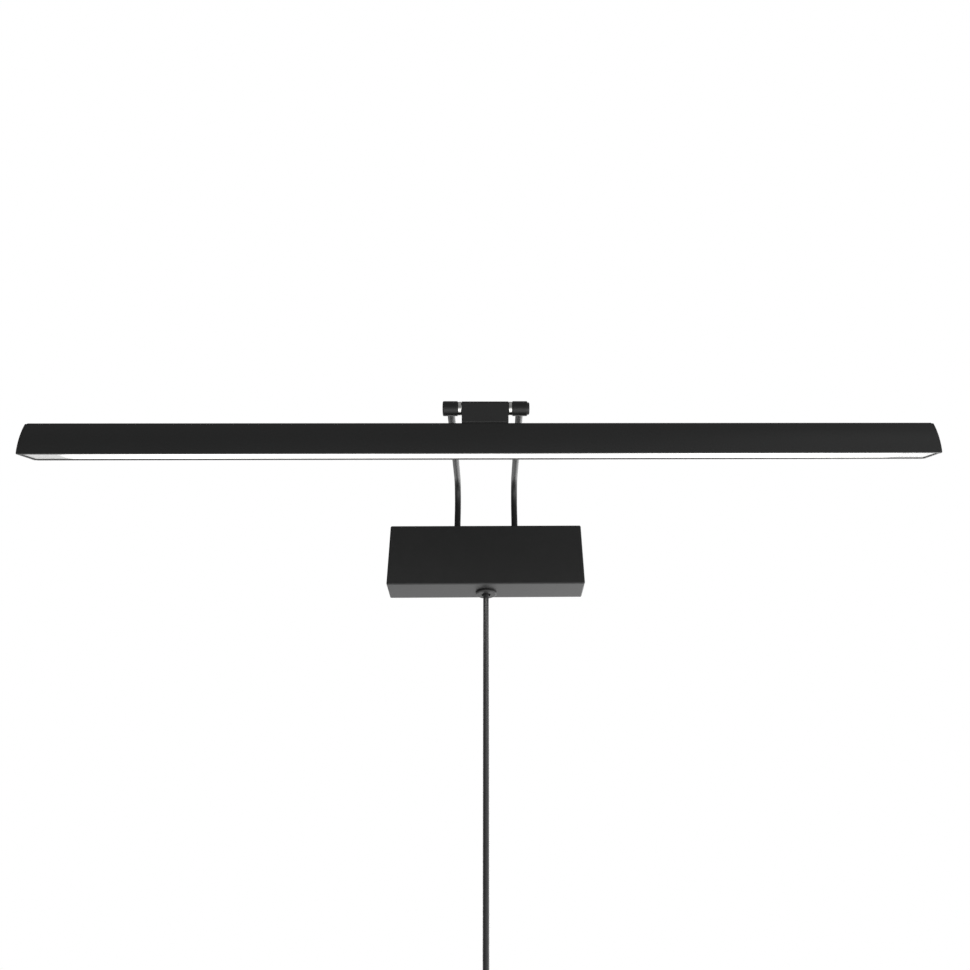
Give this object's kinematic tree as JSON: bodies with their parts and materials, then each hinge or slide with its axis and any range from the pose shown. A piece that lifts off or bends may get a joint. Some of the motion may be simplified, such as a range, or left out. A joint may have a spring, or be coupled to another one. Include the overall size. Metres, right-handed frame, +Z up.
{
  "type": "wall-mounted picture light",
  "caption": "Slim black LED picture light bar hinged on two bent tube arms above a small wall box, with a mains cord hanging from the box.",
  "frame": {"origin": "on the wall plane, at the centre of the wall box", "axes": "+X along the light bar, +Y into the wall, +Z up; the bar stands out along -Y"},
  "size_m": [0.6, 0.15, 0.52],
  "materials": {
    "black_powder_coat": "satin fine-textured black powder coat on steel and aluminium",
    "black_enamel": "smooth satin black enamel on steel tube and turned steel",
    "black_steel": "blackened steel screw",
    "zinc_steel": "dull zinc-plated steel",
    "chrome_steel": "polished chrome",
    "nickel_brass": "nickel-plated brass",
    "white_plastic": "white moulded plastic",
    "black_plastic": "black moulded plastic with a fine matt grain",
    "grey_foam": "foam mounting tape",
    "circuit_board": "green circuit board",
    "dark_components": "moulded and wound components",
    "white_board": "white solder mask",
    "led_phosphor": "yellow phosphor in silicone",
    "opal_acrylic": "satin opal acrylic",
    "black_pvc": "soft black PVC, satin",
    "strap_fabric": "black hook-and-loop strap",
    "brown_insulation": "lead insulation",
    "red_insulation": "lead insulation"
  },
  "bodies": {
    "wall_bracket": {"box_cover": "black_powder_coat", "wall_plate": "zinc_steel", "cover_screws": "black_steel", "driver_case": "white_plastic", "driver_lid": "white_plastic", "driver_tape": "grey_foam", "driver_board": "circuit_board", "driver_components": "dark_components", "terminal_block": "white_plastic", "terminal_screws": "zinc_steel", "terminal_base": "black_plastic", "clamp_base": "black_plastic", "clamp_bridge": "black_plastic", "clamp_screws": "zinc_steel", "cord_inner": "black_pvc", "mains_leads": "brown_insulation", "driver_input_leads": "brown_insulation", "cord_gland": "black_plastic", "gland_nut": "black_plastic", "arm_left": "black_enamel", "arm_right": "black_enamel", "arm_collars": "black_enamel", "arm_washers": "zinc_steel", "arm_nuts": "zinc_steel", "arm_leads": "red_insulation", "knuckle_left": "black_enamel", "knuckle_right": "black_enamel", "spacer_rings": "chrome_steel", "hinge_axle": "black_steel", "cord_run": "black_pvc", "cord_coil": "black_pvc", "coil_tie": "strap_fabric", "cord_tail": "black_pvc", "plug_body": "black_pvc", "plug_pins": "nickel_brass"},
    "light_bar": {"hinge_block": "black_powder_coat", "hinge_block_screws": "zinc_steel", "bar_profile": "black_powder_coat", "end_cap_left": "black_plastic", "end_cap_right": "black_plastic", "end_cap_screws": "black_steel", "led_board": "white_board", "led_chips": "led_phosphor", "board_connector": "white_plastic", "diffuser": "opal_acrylic", "bar_leads": "red_insulation"}
  },
  "joints": [
    {"name": "bar_tilt", "type": "hinge", "parent": "wall_bracket", "child": "light_bar", "pos_m": [0, -0.145, 0.049], "axis": [1, 0, 0], "range_deg": [-70, 38]}
  ]
}
